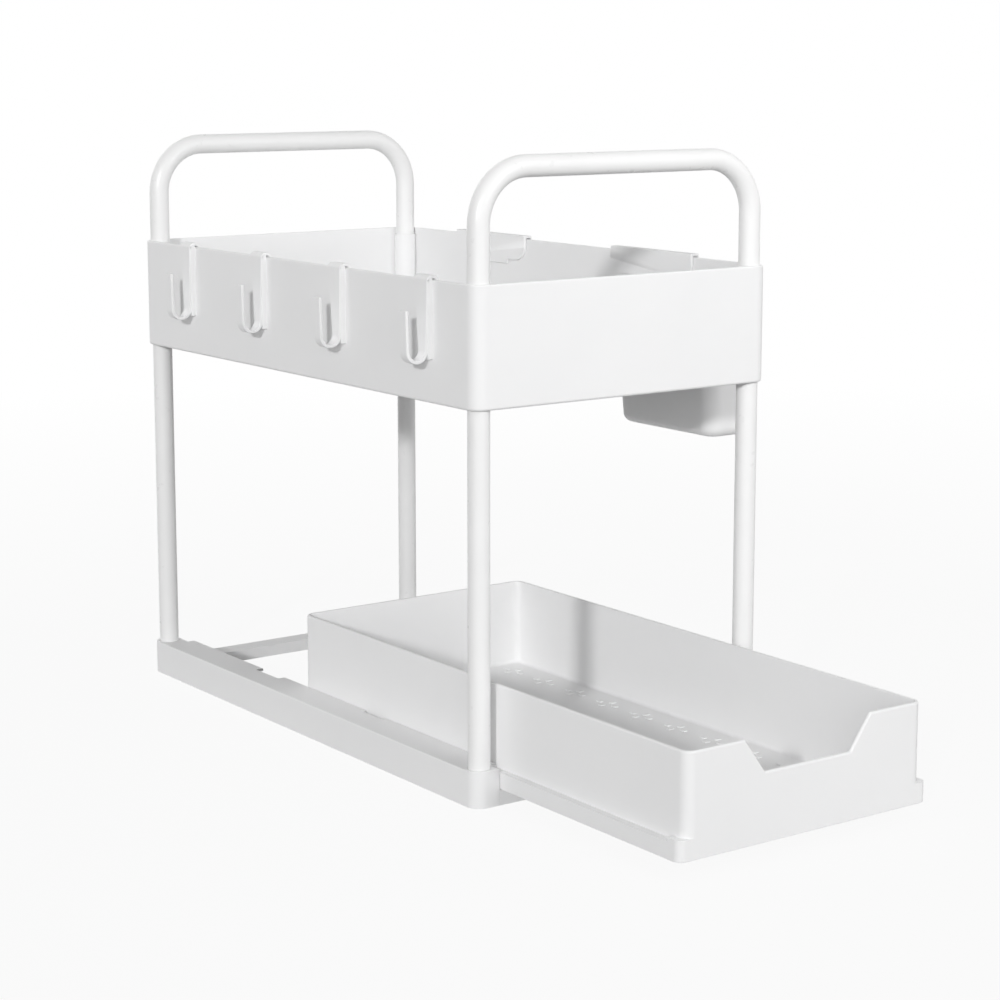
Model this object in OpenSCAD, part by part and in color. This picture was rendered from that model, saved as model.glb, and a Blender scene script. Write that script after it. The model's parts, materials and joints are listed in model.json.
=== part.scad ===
// Two-tier pull-out rack: an open base with a sliding drawer, four tube posts, an upper tray
// with a tube handle at each end, four hooks and two hanging cups.
// Units are millimetres. X runs across the rack, Y runs from front to back and Z is up.
// The origin is on the floor, midway between the two front posts.

/* [Rack] */
// Outside width of the base and of the upper tray
rack_w = 201; // [180:1:240]
// Outside depth of the base and of the upper tray
rack_d = 363; // [320:1:420]
// Radius of the outside corners; each post stands at the centre of this radius
corner_r = 8; // [7.6:0.2:9]

/* [Tubes] */
// Outside diameter of the posts and handles
tube_d = 12; // [10:0.5:12.4]
// Wall of the tube
tube_wall = 1; // [0.8:0.1:1.5]
// Height of the top of the handles above the tray's rim
handle_rise = 65.4; // [60:0.2:120]
// Radius of the handle bends, measured to the tube's axis
bend_r = 30; // [20:1:45]
// Length of the hidden plug that joins a post to the handle leg above it
joiner_l = 56; // [40:1:58]
// Distance that the ends of a joiner are tapered over
joiner_taper = 2; // [1:0.5:4]
// Clearance round a post or handle leg in its socket
socket_gap = 0.1; // [0.05:0.05:0.2]

/* [Upper tray] */
// Height of the tray's underside above the floor
tray_z = 213; // [180:1:230]
// Height of the tray's walls, underside to rim
tray_h = 65.6; // [62:0.2:75]
// Thickness of the tray's walls
tray_wall = 2; // [1.8:0.1:2.4]
// Thickness of the tray's floor
tray_floor = 2; // [1.6:0.1:3]
// Radius along the tray's lower outside edge
tray_edge_r = 1.6; // [1:0.1:1.7]
// Wall of the four corner sleeves, inside the tray
sleeve_wall = 0.9; // [0.8:0.1:1.2]
// Distance from the rim down to the top of a sleeve
sleeve_drop = 4.1; // [2:0.1:8]
// Distance from the tray's underside up to the shoulder that stands on the post
shoulder_rise = 31; // [29:0.5:36]
// Thickness of the shoulder inside a sleeve
shoulder_t = 2; // [1.5:0.1:3]

/* [Base rails] */
// Height of the side rails
rail_h = 20.2; // [19.8:0.2:24]
// Thickness of a rail's outer wall
rail_skin = 2.2; // [1.8:0.1:2.6]
// Thickness of a rail's top plate
rail_top_t = 1.7; // [1.5:0.1:2]
// Width of a rail's top plate from its outer face
rail_top_w = 20.2; // [20:0.2:22]
// Width of the corner blocks, and of a rail out to its inner web
block_w = 15.6; // [15.4:0.2:16]
// Depth of the corner blocks along the rail
block_l = 16; // [15.4:0.2:20]
// Thickness of a rail's inner web
web_t = 1.8; // [1.5:0.1:2.2]
// Height of the ledge that carries the drawer's runner
ledge_z = 8.6; // [8.4:0.1:9]
// Thickness of that ledge
ledge_t = 1.7; // [1.4:0.1:2.2]
// Reach of that ledge from the inner web
ledge_w = 6.4; // [5.6:0.2:10]
// Depth of the post sockets
socket_depth = 17.2; // [15:0.2:17.6]
// Distance that the top plate is set back from the front, for the drawer's end block
plate_setback = 9.6; // [9.4:0.2:12]
// Distance that the top plate stops short of the back
plate_back_gap = 19; // [16:0.5:24]
// Front edge of the wide window in the top plate, from the front of the rack
window_y = 230; // [200:1:240]
// Length of that window
window_l = 26; // [16:1:40]
// Front edge of the drawer stop's notch in the top plate, from the front of the rack
notch_y = 117; // [90:1:140]
// Length of that notch
notch_l = 21; // [14:1:28]
// Depth of that notch from the plate's inner edge
notch_depth = 2.3; // [2:0.1:2.6]
// Length of the stop tooth under the notch
tooth_l = 4; // [3:0.5:6]
// Height of the stop tooth above the ledge
tooth_h = 5; // [4:0.2:5.4]
// Number of cross ribs under a rail
rail_ribs = 6; // [3:1:9]
// Thickness of the ribs under the rails and cross bars
rib_t = 1.6; // [1.2:0.1:2]

/* [Base cross bars] */
// Depth of both cross bars, front to back
bar_d = 14.2; // [13:0.2:16]
// Height of the front bar, under the drawer
front_bar_h = 8.5; // [8:0.1:8.5]
// Height of the back bar
back_bar_h = 7.2; // [7:0.1:8.4]
// Wall of the cross bars
bar_wall = 2; // [1.6:0.1:2.4]
// Length of the solid foot at the middle of a bar
bar_foot_l = 24; // [16:1:40]
// Reach of the screw plate from a rail under the end of a bar
plate_l = 14; // [12:0.5:18]
// Width of that screw plate
plate_w = 10; // [8:0.5:10.5]
// Thickness of that screw plate
plate_t = 2.4; // [2.2:0.1:2.8]
// Diameter of the screws' shanks
screw_d = 2.9; // [2.5:0.1:3.2]
// Diameter of the screws' heads
screw_head_d = 5.4; // [5:0.1:6]
// Length of the screws with their heads
screw_l = 6; // [5:0.2:6.2]
// Clearance round a screw
screw_gap = 0.1; // [0.05:0.05:0.2]

/* [Foot pads] */
// Diameter of the non-slip pads under the corners
pad_d = 11; // [8:0.5:12]
// Thickness of the pads, set level with the underside
pad_t = 1.5; // [1:0.1:2]

/* [Drawer] */
// Distance that the drawer stands out at the front, as shown
drawer_out = 147.4; // [0:0.2:220]
// Height of the drawer's walls, underside to rim
drawer_h = 55.1; // [40:0.5:80]
// Thickness of the drawer's walls
drawer_wall = 2; // [1.8:0.1:2.4]
// Thickness of the drawer's floor
drawer_floor = 2; // [1.6:0.1:3]
// Radius of the drawer's upright corners
drawer_r = 6; // [5:0.5:9]
// Clearance between the runner and the ledge under it
slide_gap = 0.3; // [0.2:0.05:0.4]
// Clearance above and beside the runners, and at the back stop
side_gap = 0.4; // [0.3:0.05:0.5]
// Clearance between a runner and the rail's inner web
web_gap = 0.6; // [0.4:0.1:0.8]
// Thickness of the runners' skirt and top
runner_t = 1.8; // [1.6:0.1:1.9]
// Length of the solid block at the front of each runner
end_block_l = 9; // [8:0.2:9.2]
// Height of that block
end_block_h = 11.2; // [10:0.1:11.4]
// Radius of that block's outer corner
end_block_r = 4.2; // [3:0.1:4.4]
// Depth of the block at the back of the rails that the runners stop against
back_stop_l = 7.6; // [6:0.2:10]
// Height of the top of that block
back_stop_h = 15; // [12:0.5:17]
// Width of the finger cut-out at the rim
cutout_top_w = 84.8; // [60:0.2:110]
// Width of the finger cut-out at its bottom
cutout_low_w = 57.8; // [40:0.2:80]
// Depth of the finger cut-out
cutout_depth = 18.5; // [10:0.5:30]

/* [Hooks] */
// Width of a hook's plate and of its arch over the rim
hook_w = 12.8; // [10:0.2:20]
// Width of a hook's bend and arm; the strip above them narrows down to it
hook_arm_w = 7; // [5:0.2:10]
// Distance that the front edge of the bend and arm stands back from the front edge of the plate
hook_inset = 0.8; // [0:0.1:3]
// Thickness of a hook's strip and arm, and of its leg inside the tray
hook_t = 1.8; // [1.6:0.1:2.4]
// Thickness of a hook's flat plate
hook_plate_t = 1.7; // [1.2:0.1:2.4]
// Height of a hook's arch over the rim
hook_top = 2.5; // [2.1:0.1:3.4]
// Distance from the front of the rack to the front edge of the first hook
hook_first_y = 38.2; // [30:0.2:60]
// Distance from the back edge of the last hook to the back of the rack
hook_last_y = 55; // [30:0.2:60]
// Reach of a hook's bend from the tray's wall
hook_reach = 16; // [15:0.2:20]
// Distance that a hook's arm leans out above the bend
hook_lean = 0.6; // [0:0.1:2]
// Distance from the rim down to the end of the hook's flat plate
hook_plate_l = 42; // [40:0.2:60]
// Distance from the rim down to the bottom of the hook's bend
hook_drop = 44; // [40:0.2:60]
// Outside radius of the hook's bend
hook_bend_r = 6.8; // [5:0.1:7]
// Distance from the rim down to the tip of the hook
hook_tip_drop = 15.6; // [10:0.2:20]
// Distance from the rim down to the end of the web between a hook's strip and its plate
hook_web_l = 20; // [14:0.5:34]
// Distance from the rim down to the end of the leg inside the tray
hook_leg_l = 10; // [6:0.5:20]
// Clearance between a hook or cup tab and the wall it hangs on
hang_gap = 0.2; // [0.1:0.05:0.3]

/* [Hanging cups] */
// Length of a cup's body, along the tray's wall
cup_l = 92; // [70:1:110]
// Reach of a cup from the tray's wall at its mouth
cup_w = 46; // [36:1:60]
// Depth of a cup, mouth to underside
cup_h = 90; // [60:1:110]
// Distance from the rim down to a cup's mouth
cup_drop = 16.6; // [12:0.2:24]
// Distance that the wall-side face leans out from mouth to underside
cup_lean = 7; // [2:0.5:10]
// Distance that each of the other faces leans in from mouth to underside
cup_draft = 2; // [0.5:0.5:5]
// Wall of a cup
cup_wall = 2; // [1.6:0.1:2.4]
// Radius of a cup's upright corners
cup_r = 10; // [8:0.5:14]
// Radius along a cup's lower edge
cup_edge_r = 6; // [4:0.5:7]
// Distance from the middle of the rack's depth to the middle of each cup
cup_offset = 81.4; // [60:0.2:90]
// Width of a cup's tab over the rim
tab_w = 75; // [50:1:84]
// Thickness of that tab
tab_t = 1.8; // [1.6:0.1:2.2]
// Length of that tab inside the tray
tab_l = 13.6; // [12:0.2:24]
// Radius of the lower corners of that tab
tab_r = 10; // [6:0.5:11]
// Width of the tongue at the middle of that tab
tongue_w = 37; // [20:1:45]
// Distance that the tongue stands below the tab
tongue_l = 3; // [2:0.5:6]

/* [Hidden] */

$fn = 64;
facet_fn = 32;
over = 1;
weld = 0.2;
slice = 0.1;

white_plastic = [0.93, 0.93, 0.93];
white_steel = [0.96, 0.96, 0.95];
grey_rubber = [0.55, 0.55, 0.55];
zinc_steel = [0.7, 0.7, 0.72];
front = 0;
back = 1;
left = -1;
right = 1;

// places that several pieces share
post_x = rack_w / 2 - corner_r;
post_pitch_y = rack_d - 2 * corner_r;
front_y = -corner_r;
rim_z = tray_z + tray_h;
socket_r = tube_d / 2 + socket_gap;
socket_z = rail_h - socket_depth;
shoulder_z = tray_z + shoulder_rise;
handle_leg_z = shoulder_z + shoulder_t;
bar_axis_z = rim_z + handle_rise - tube_d / 2;
joiner_r = tube_d / 2 - tube_wall - socket_gap;
joiner_hole_r = joiner_r + 2 * socket_gap;

// the hooks are spread evenly between the first and the last
hook_count = 4;
hook_pitch = (rack_d - hook_first_y - hook_last_y - hook_w) / (hook_count - 1);

// the drawer's sizes follow the rails it runs in
drawer_z = ledge_z + slide_gap;
drawer_w = rack_w - 2 * (rail_top_w + side_gap);
drawer_l = rack_d - back_stop_l - side_gap;
runner_w = rail_top_w + side_gap - block_w - web_gap;
runner_h = rail_h - rail_top_t - side_gap - drawer_z;
tooth_w = runner_w - runner_t - 2 * side_gap;

// the cross bars reach from rail to rail, and their screws stand at the middle of the screw plates
bar_l = rack_w - 2 * block_w - 2 * slice;
screw_x = rack_w / 2 - block_w - plate_l / 2;
screw_head_h = (screw_head_d - screw_d) / 2;

// the height of a cup's tab inside the tray, from its top
tab_plate_h = tab_l + hang_gap + tab_t;

function post_y(end) = end * post_pitch_y;
function hook_y(place) = front_y + hook_first_y + (place - 1) * hook_pitch;
function cup_y(end) = front_y + rack_d / 2 + (2 * end - 1) * cup_offset;

module rounded_rect(w, d, r) {
    square([w - 2 * r, d], center = true);
    square([w, d - 2 * r], center = true);
    for (x = [-1, 1], y = [-1, 1]) {
        translate([x * (w / 2 - r), y * (d / 2 - r)]) circle(r);
    }
}

// a wall profile, drawn with x = 0 at its outer face, carried round a rectangle with round corners
module ring_of(w, d, r) {
    for (x = [0, 1]) {
        mirror([x, 0, 0]) translate([w / 2, 0, 0]) rotate([90, 0, 0])
            linear_extrude(d - 2 * r, center = true) children();
    }
    for (y = [1, -1]) {
        rotate([0, 0, y * 90]) translate([d / 2, 0, 0]) rotate([90, 0, 0])
            linear_extrude(w - 2 * r, center = true) children();
    }
    for (x = [0, 1], y = [0, 1]) {
        mirror([x, 0, 0]) mirror([0, y, 0]) translate([w / 2 - r, d / 2 - r, 0])
            rotate_extrude(angle = 90) translate([r, 0]) children();
    }
}

module tube_section() {
    difference() {
        circle(tube_d / 2);
        circle(tube_d / 2 - tube_wall);
    }
}

// Base rails

module rail_section() {
    square([rail_skin, rail_h]);
    translate([0, rail_h - rail_top_t]) square([block_w, rail_top_t]);
    translate([block_w - web_t, 0]) square([web_t, rail_h]);
}

module block_plan() {
    translate([corner_r, corner_r]) circle(corner_r);
    translate([corner_r, 0]) square([block_w - corner_r, block_l]);
    translate([0, corner_r]) square([block_w, block_l - corner_r]);
}

// the rail's plan view at one end, mirrored for the other
module at_rail_ends() {
    children();
    translate([0, rack_d, 0]) mirror([0, 1, 0]) children();
}

module screw_plate() {
    plate_y = (bar_d - plate_w) / 2;
    difference() {
        translate([block_w - weld, plate_y, 0]) cube([plate_l + weld, plate_w, plate_t]);
        translate([block_w + plate_l / 2, bar_d / 2, 0]) {
            translate([0, 0, -over]) cylinder(h = plate_t + 2 * over, r = screw_d / 2 + screw_gap);
            cylinder(h = screw_head_h + screw_gap, r1 = screw_head_d / 2 + screw_gap + weld,
                     r2 = screw_d / 2 + screw_gap);
        }
    }
}

// drawn as the left rail, with x = 0 at its outer face and y = 0 at the front of the rack
module rail() {
    ledge_start = bar_d + side_gap;
    plate_span = rack_d - plate_setback - plate_back_gap;
    rib_step = (rack_d - 2 * block_l) / (rail_ribs + 1);
    difference() {
        union() {
            translate([0, rack_d - corner_r, 0]) rotate([90, 0, 0])
                linear_extrude(rack_d - 2 * corner_r) rail_section();
            at_rail_ends() linear_extrude(rail_h) block_plan();
            translate([0, plate_setback, rail_h - rail_top_t]) cube([rail_top_w, plate_span, rail_top_t]);
            translate([block_w - weld, ledge_start, ledge_z - ledge_t])
                cube([ledge_w + weld, rack_d - 2 * ledge_start, ledge_t]);
            for (rib = [1 : rail_ribs]) {
                translate([rail_skin - weld, block_l + rib * rib_step, rib_t])
                    cube([block_w - rail_skin - web_t + 2 * weld, rib_t, rail_h - 2 * rib_t]);
            }
            at_rail_ends() screw_plate();
            translate([block_w - weld, rack_d - back_stop_l, back_bar_h + side_gap])
                cube([rail_top_w - block_w + weld, back_stop_l, back_stop_h - back_bar_h - side_gap]);
            translate([rail_top_w - tooth_w, notch_y, ledge_z - weld])
                cube([tooth_w, tooth_l, tooth_h + weld]);
        }
        translate([block_w, window_y, rail_h - rail_top_t - over])
            cube([rail_top_w, window_l, rail_top_t + 2 * over]);
        translate([rail_top_w - notch_depth, notch_y, rail_h - rail_top_t - slice])
            cube([rail_top_w, notch_l, rail_top_t + over]);
        at_rail_ends() translate([corner_r, corner_r, 0]) {
            translate([0, 0, socket_z]) cylinder(h = rail_h, r = socket_r);
            translate([0, 0, -over]) cylinder(h = pad_t + over, r = pad_d / 2 + screw_gap);
        }
    }
}

module base_left_rail() {
    color(white_plastic) translate([-rack_w / 2, front_y, 0]) rail();
}

module base_right_rail() {
    mirror([1, 0, 0]) base_left_rail();
}

// Base cross bars

// an upside-down channel with closed ends, a flat foot at its middle and a rib in each half
module cross_bar(h) {
    end_l = plate_l + bar_wall + 2 * slice;
    pocket_l = (bar_l - bar_foot_l) / 2 - end_l;
    difference() {
        translate([-bar_l / 2, 0, 0]) cube([bar_l, bar_d, h]);
        for (side = [left, right]) {
            translate([side * (bar_foot_l / 2 + pocket_l / 2), bar_d / 2, 0]) {
                for (half = [left, right]) {
                    translate([half * (pocket_l + rib_t) / 4, 0, (h - bar_wall) / 2 - over / 2])
                        cube([(pocket_l - rib_t) / 2, bar_d - 2 * bar_wall, h - bar_wall + over],
                             center = true);
                }
            }
            translate([side * (bar_l / 2 - plate_l / 2), bar_d / 2, 0])
                cube([plate_l + 2 * weld, plate_w + 2 * screw_gap, 2 * (plate_t + screw_gap)], center = true);
            translate([side * screw_x, bar_d / 2, 0])
                cylinder(h = screw_l + 2 * screw_gap, r = screw_d / 2 + screw_gap / 2);
        }
    }
}

module base_front_bar() {
    color(white_plastic) translate([0, front_y, 0]) cross_bar(front_bar_h);
}

module base_back_bar() {
    color(white_plastic) translate([0, front_y + rack_d - bar_d, 0]) cross_bar(back_bar_h);
}

module screw() {
    rotate_extrude() polygon([
        [0, 0],
        [screw_head_d / 2, 0],
        [screw_d / 2, screw_head_h],
        [screw_d / 2, screw_l - screw_d / 2],
        [0, screw_l]
    ]);
}

module base_screws() {
    color(zinc_steel) for (side = [left, right], y = [bar_d / 2, rack_d - bar_d / 2]) {
        translate([side * screw_x, front_y + y, screw_gap]) screw();
    }
}

// Foot pads

module foot_pad(side, end) {
    color(grey_rubber) translate([side * post_x, post_y(end), 0]) cylinder(h = pad_t, r = pad_d / 2);
}

module pad_front_left() { foot_pad(left, front); }
module pad_front_right() { foot_pad(right, front); }
module pad_back_left() { foot_pad(left, back); }
module pad_back_right() { foot_pad(right, back); }

// Posts, joiners and handles

module post(side, end) {
    color(white_steel) translate([side * post_x, post_y(end), socket_z])
        linear_extrude(shoulder_z - socket_z) tube_section();
}

module post_front_left() { post(left, front); }
module post_front_right() { post(right, front); }
module post_back_left() { post(left, back); }
module post_back_right() { post(right, back); }

module joiner(side, end) {
    color(grey_rubber) translate([side * post_x, post_y(end), (shoulder_z + handle_leg_z - joiner_l) / 2])
        rotate_extrude() polygon([
            [0, 0],
            [joiner_r - joiner_taper / 2, 0],
            [joiner_r, joiner_taper],
            [joiner_r, joiner_l - joiner_taper],
            [joiner_r - joiner_taper / 2, joiner_l],
            [0, joiner_l]
        ]);
}

module joiner_front_left() { joiner(left, front); }
module joiner_front_right() { joiner(right, front); }
module joiner_back_left() { joiner(left, back); }
module joiner_back_right() { joiner(right, back); }

module handle(end) {
    leg_l = bar_axis_z - bend_r - handle_leg_z;
    color(white_steel) translate([0, post_y(end), 0]) {
        for (flip = [0, 1]) mirror([flip, 0, 0]) {
            translate([post_x, 0, handle_leg_z]) linear_extrude(leg_l) tube_section();
            translate([post_x - bend_r, 0, bar_axis_z - bend_r]) rotate([90, 0, 0])
                rotate_extrude(angle = 90) translate([bend_r, 0]) tube_section();
        }
        translate([bend_r - post_x, 0, bar_axis_z]) rotate([0, 90, 0])
            linear_extrude(2 * (post_x - bend_r)) tube_section();
    }
}

module front_handle() { handle(front); }
module back_handle() { handle(back); }

// Upper tray

module tray_wall_profile() {
    translate([-tray_wall, tray_edge_r]) square([tray_wall, tray_h - tray_edge_r]);
    translate([-tray_wall, 0]) square([tray_wall - tray_edge_r, tray_edge_r]);
    translate([-tray_edge_r, tray_edge_r]) intersection() {
        circle(tray_edge_r);
        translate([0, -tray_edge_r]) square([tray_edge_r, tray_edge_r]);
    }
}

module at_tray_corners() {
    for (side = [left, right], end = [front, back]) {
        translate([side * post_x, (2 * end - 1) * post_pitch_y / 2, 0]) children();
    }
}

module upper_tray() {
    sleeve_r = socket_r + sleeve_wall;
    color(white_plastic) translate([0, post_pitch_y / 2, tray_z]) difference() {
        union() {
            ring_of(rack_w, rack_d, corner_r) tray_wall_profile();
            linear_extrude(tray_floor) rounded_rect(rack_w - 2 * (tray_wall - weld),
                rack_d - 2 * (tray_wall - weld), corner_r - tray_wall + weld);
            at_tray_corners() translate([0, 0, tray_floor / 2])
                cylinder(h = tray_h - sleeve_drop - tray_floor / 2, r = sleeve_r);
        }
        at_tray_corners() {
            translate([0, 0, -over]) cylinder(h = shoulder_rise + over, r = socket_r);
            cylinder(h = tray_h, r = joiner_hole_r);
            translate([0, 0, shoulder_rise + shoulder_t]) cylinder(h = tray_h, r = socket_r);
        }
    }
}

// Drawer

module end_block_plan() {
    reach = drawer_w / 2 + runner_w;
    translate([reach - end_block_r, end_block_r]) circle(end_block_r);
    translate([drawer_w / 2 - drawer_r, 0]) square([runner_w + drawer_r - end_block_r, end_block_l]);
    translate([reach - end_block_r, end_block_r]) square([end_block_r, end_block_l - end_block_r]);
}

// the right-hand runner: a hollow flange, open below, that the rail's stop tooth runs inside
module runner() {
    translate([drawer_w / 2 - weld, end_block_l - weld, runner_h - runner_t])
        cube([runner_w + weld, drawer_l - end_block_l + weld, runner_t]);
    translate([drawer_w / 2 + runner_w - runner_t, end_block_l - weld, 0])
        cube([runner_t, drawer_l - end_block_l + weld, runner_h]);
    translate([drawer_w / 2 - weld, drawer_l - runner_t, 0]) cube([runner_w + weld, runner_t, runner_h]);
    linear_extrude(end_block_h) end_block_plan();
}

module drawer() {
    color(white_plastic) translate([0, front_y - drawer_out, drawer_z]) difference() {
        union() {
            translate([0, drawer_l / 2, 0]) linear_extrude(drawer_h) rounded_rect(drawer_w, drawer_l, drawer_r);
            for (flip = [0, 1]) mirror([flip, 0, 0]) runner();
        }
        translate([0, drawer_l / 2, drawer_floor]) linear_extrude(drawer_h)
            rounded_rect(drawer_w - 2 * drawer_wall, drawer_l - 2 * drawer_wall, drawer_r - drawer_wall);
        translate([0, drawer_wall + over, 0]) rotate([90, 0, 0]) linear_extrude(drawer_wall + 2 * over)
            polygon([
                [-cutout_low_w / 2, drawer_h - cutout_depth],
                [cutout_low_w / 2, drawer_h - cutout_depth],
                [cutout_top_w / 2, drawer_h],
                [cutout_top_w / 2, drawer_h + over],
                [-cutout_top_w / 2, drawer_h + over],
                [-cutout_top_w / 2, drawer_h]
            ]);
    }
}

// Hooks

// a hook seen from the front: x is the distance out from the tray's wall, y the height over the rim

// the arch sits over the rim, with a leg inside the tray and the plate outside it
module hook_arch() {
    hollow_r = tray_wall / 2 + hang_gap;
    inner_x = -tray_wall - hang_gap - hook_t;
    outer_x = hang_gap + hook_plate_t + hook_t;
    difference() {
        union() {
            translate([inner_x + hook_top, 0]) circle(hook_top);
            translate([outer_x - hook_top, 0]) circle(hook_top);
            translate([inner_x + hook_top, 0]) square([outer_x - inner_x - 2 * hook_top, hook_top]);
        }
        translate([-tray_wall / 2, 0]) circle(hollow_r);
        translate([inner_x - over, -2 * hook_top]) square([outer_x - inner_x + 2 * over, 2 * hook_top]);
    }
    translate([inner_x, -hook_leg_l]) square([hook_t, hook_leg_l + weld]);
    translate([hang_gap, -hook_plate_l]) square([hook_plate_t, hook_plate_l + weld]);
}

// the strip that comes down from the arch and ends in a J: an outline round it, less its slot
module hook_strip() {
    plate_face = hang_gap + hook_plate_t;
    strip_face = plate_face + hook_t;
    bend_x = hook_reach - hook_bend_r;
    bend_y = hook_bend_r - hook_drop;
    leg_x = bend_x - hook_bend_r;
    tip_y = -hook_tip_drop - hook_t / 2;
    tip_x = hook_reach + hook_lean;
    strip_tip_x = strip_face + (leg_x + hook_t - strip_face) * tip_y / bend_y;
    web_x = plate_face + (leg_x - plate_face) * hook_web_l / -bend_y;
    difference() {
        union() {
            translate([bend_x, bend_y]) circle(hook_bend_r);
            polygon([
                [plate_face, weld],
                [leg_x, bend_y],
                [hook_reach, bend_y],
                [tip_x, tip_y],
                [strip_tip_x, tip_y],
                [strip_face, 0],
                [strip_face, weld]
            ]);
        }
        translate([bend_x, bend_y]) circle(hook_bend_r - hook_t);
        polygon([
            [strip_tip_x, tip_y],
            [leg_x + hook_t, bend_y],
            [hook_reach - hook_t, bend_y],
            [tip_x - hook_t, tip_y],
            [tip_x - hook_t, tip_y + over],
            [strip_tip_x, tip_y + over]
        ]);
    }
    translate([tip_x - hook_t / 2, tip_y]) circle(hook_t / 2);
    polygon([
        [plate_face - weld, 0],
        [plate_face - weld, -hook_web_l],
        [web_x + weld, -hook_web_l],
        [plate_face + weld, 0]
    ]);
}

// the strip seen from the side, from its full width at the rim to the width of its arm
module hook_taper() {
    back_inset = hook_w - hook_arm_w - hook_inset;
    bend_y = hook_bend_r - hook_drop;
    polygon([
        [0, over],
        [0, 0],
        [back_inset, bend_y],
        [back_inset, -hook_drop - over],
        [hook_w - hook_inset, -hook_drop - over],
        [hook_w - hook_inset, bend_y],
        [hook_w, 0],
        [hook_w, over]
    ]);
}

module side_hook(place) {
    color(white_plastic) translate([-rack_w / 2, hook_y(place) + hook_w, rim_z]) mirror([1, 0, 0])
        rotate([90, 0, 0]) {
            linear_extrude(hook_w) hook_arch();
            intersection() {
                linear_extrude(hook_w) hook_strip();
                rotate([0, -90, 0]) translate([0, 0, -hook_reach - 2 * hook_t])
                    linear_extrude(hook_reach + 2 * hook_t) hook_taper();
            }
        }
}

module side_hook_1() { side_hook(1); }
module side_hook_2() { side_hook(2); }
module side_hook_3() { side_hook(3); }
module side_hook_4() { side_hook(4); }

// Hanging cups

// a round-cornered slice of the cup at its mouth
module cup_mouth(inset, h) {
    linear_extrude(h) translate([cup_w / 2, 0])
        rounded_rect(cup_w - 2 * inset, cup_l - 2 * inset, cup_r - inset);
}

// the cup's underside, with its lower edge rounded
module cup_foot(inset) {
    low_w = cup_w - cup_lean - cup_draft;
    low_l = cup_l - 2 * cup_draft;
    edge_r = cup_edge_r - inset;
    for (x = [cup_lean + cup_r, cup_lean + low_w - cup_r], y = [-1, 1]) {
        translate([x, y * (low_l / 2 - cup_r), edge_r]) rotate_extrude() {
            translate([cup_r - cup_edge_r, 0]) intersection() {
                circle(edge_r);
                translate([0, -edge_r]) square([edge_r, edge_r]);
            }
            translate([0, -edge_r]) square([cup_r - cup_edge_r, edge_r]);
        }
    }
}

// the tab seen from the side: it goes over the rim and down inside the tray
module tab_profile() {
    translate([0, -cup_drop - weld]) square([tab_t, cup_drop + weld + hang_gap + tab_t]);
    translate([-tray_wall - 2 * hang_gap - tab_t, hang_gap])
        square([tray_wall + 2 * hang_gap + 2 * tab_t, tab_t]);
}

// the tab's leg inside the tray, with its two lower corners rounded and a tongue between them
module tab_inner_plate() {
    intersection() {
        translate([-tab_w / 2, -tab_plate_h]) square([tab_w, tab_plate_h]);
        union() {
            translate([-tab_w / 2, tab_r - tab_plate_h]) square([tab_w, tab_plate_h]);
            translate([-tab_w / 2 + tab_r, -tab_plate_h]) square([tab_w - 2 * tab_r, tab_plate_h]);
            for (side = [left, right]) {
                translate([side * (tab_w / 2 - tab_r), tab_r - tab_plate_h]) circle(tab_r);
            }
        }
    }
    translate([-tongue_w / 2, -tab_plate_h - tongue_l]) square([tongue_w, tab_r + tongue_l]);
}

// drawn with x = 0 at the cup's wall-side face, z = 0 at the tray's rim
module cup() {
    difference() {
        hull() {
            $fn = facet_fn;
            translate([0, 0, -cup_drop - slice]) cup_mouth(0, slice);
            translate([0, 0, -cup_drop - cup_h]) cup_foot(0);
        }
        hull() {
            $fn = facet_fn;
            translate([0, 0, -cup_drop]) cup_mouth(cup_wall, over);
            translate([0, 0, -cup_drop - cup_h + cup_wall]) cup_foot(cup_wall);
        }
    }
    translate([0, tab_w / 2, 0]) rotate([90, 0, 0]) linear_extrude(tab_w) tab_profile();
    translate([-tray_wall - 2 * hang_gap - tab_t, 0, hang_gap + tab_t])
        rotate([90, 0, 90]) linear_extrude(tab_t) tab_inner_plate();
}

module hanging_cup(end) {
    color(white_plastic) translate([rack_w / 2 + hang_gap, cup_y(end), rim_z]) cup();
}

module front_cup() { hanging_cup(front); }
module back_cup() { hanging_cup(back); }

base_left_rail();
base_right_rail();
base_front_bar();
base_back_bar();
base_screws();
pad_front_left();
pad_front_right();
pad_back_left();
pad_back_right();
post_front_left();
post_front_right();
post_back_left();
post_back_right();
joiner_front_left();
joiner_front_right();
joiner_back_left();
joiner_back_right();
upper_tray();
front_handle();
back_handle();
drawer();
side_hook_1();
side_hook_2();
side_hook_3();
side_hook_4();
front_cup();
back_cup();
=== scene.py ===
# %% [markdown]
# # A two-tier pull-out rack
# This lesson dresses a rack for a cupboard: an open base with a sliding drawer, four tube posts, an
# upper tray with a tube handle at each end, four hooks and two hanging cups. The rack's solids come
# ready made, at their real size and place. Blender gives them soft edges, moulded texture, coated
# steel and light, and moves nothing.

# %% Load the rack
import json
import math

import bmesh
import bpy
from mathutils import Matrix, Vector


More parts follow.
